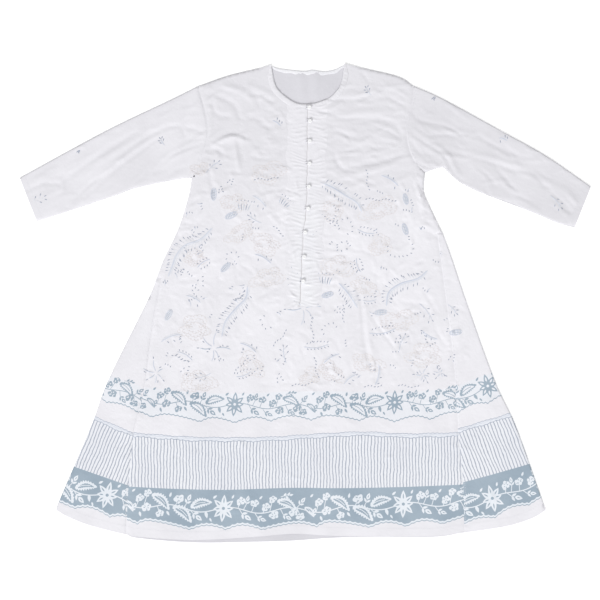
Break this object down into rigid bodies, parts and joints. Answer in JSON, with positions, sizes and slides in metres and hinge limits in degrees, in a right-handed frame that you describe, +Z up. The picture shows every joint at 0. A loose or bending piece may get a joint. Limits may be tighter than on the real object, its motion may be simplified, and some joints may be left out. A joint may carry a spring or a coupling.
{
  "type": "embroidered dress laid flat",
  "caption": "Child's long-sleeved A-line dress in white cotton with blue printed hem bands and embroidery, laid flat.",
  "frame": {"origin": "centre of the dress's box, on the surface that it lies on", "axes": "+X across the dress to the right as seen from above, +Y towards the neck, +Z up off the surface"},
  "size_m": [0.913, 0.7663, 0.0067],
  "materials": {
    "cloth": "thin white cotton with a cool cast, crinkled and matt",
    "binding": "white cotton tape and placket bands, matt",
    "button": "small white buttons, polished",
    "thread": "white sewing thread, soft sheen",
    "print_blue": "grey-blue print on the cotton, matt",
    "embroidery": "pale blue and lilac embroidery thread, soft sheen"
  },
  "bodies": {
    "root": {"back_panel": "cloth", "front_panel": "cloth", "gore_left": "cloth", "gore_right": "cloth", "sleeve_left": "cloth", "sleeve_right": "cloth", "neck_binding_left": "binding", "neck_binding_right": "binding", "neck_binding_back": "binding", "placket_left": "binding", "placket_right": "binding", "button_1": "button", "button_2": "button", "button_3": "button", "button_4": "button", "button_5": "button", "button_6": "button", "button_7": "button", "button_8": "button", "button_9": "button", "button_loop_1": "thread", "button_loop_2": "thread", "button_loop_3": "thread", "button_loop_4": "thread", "button_loop_5": "thread", "button_loop_6": "thread", "button_loop_7": "thread", "button_loop_8": "thread", "button_loop_9": "thread"}
  },
  "joints": []
}
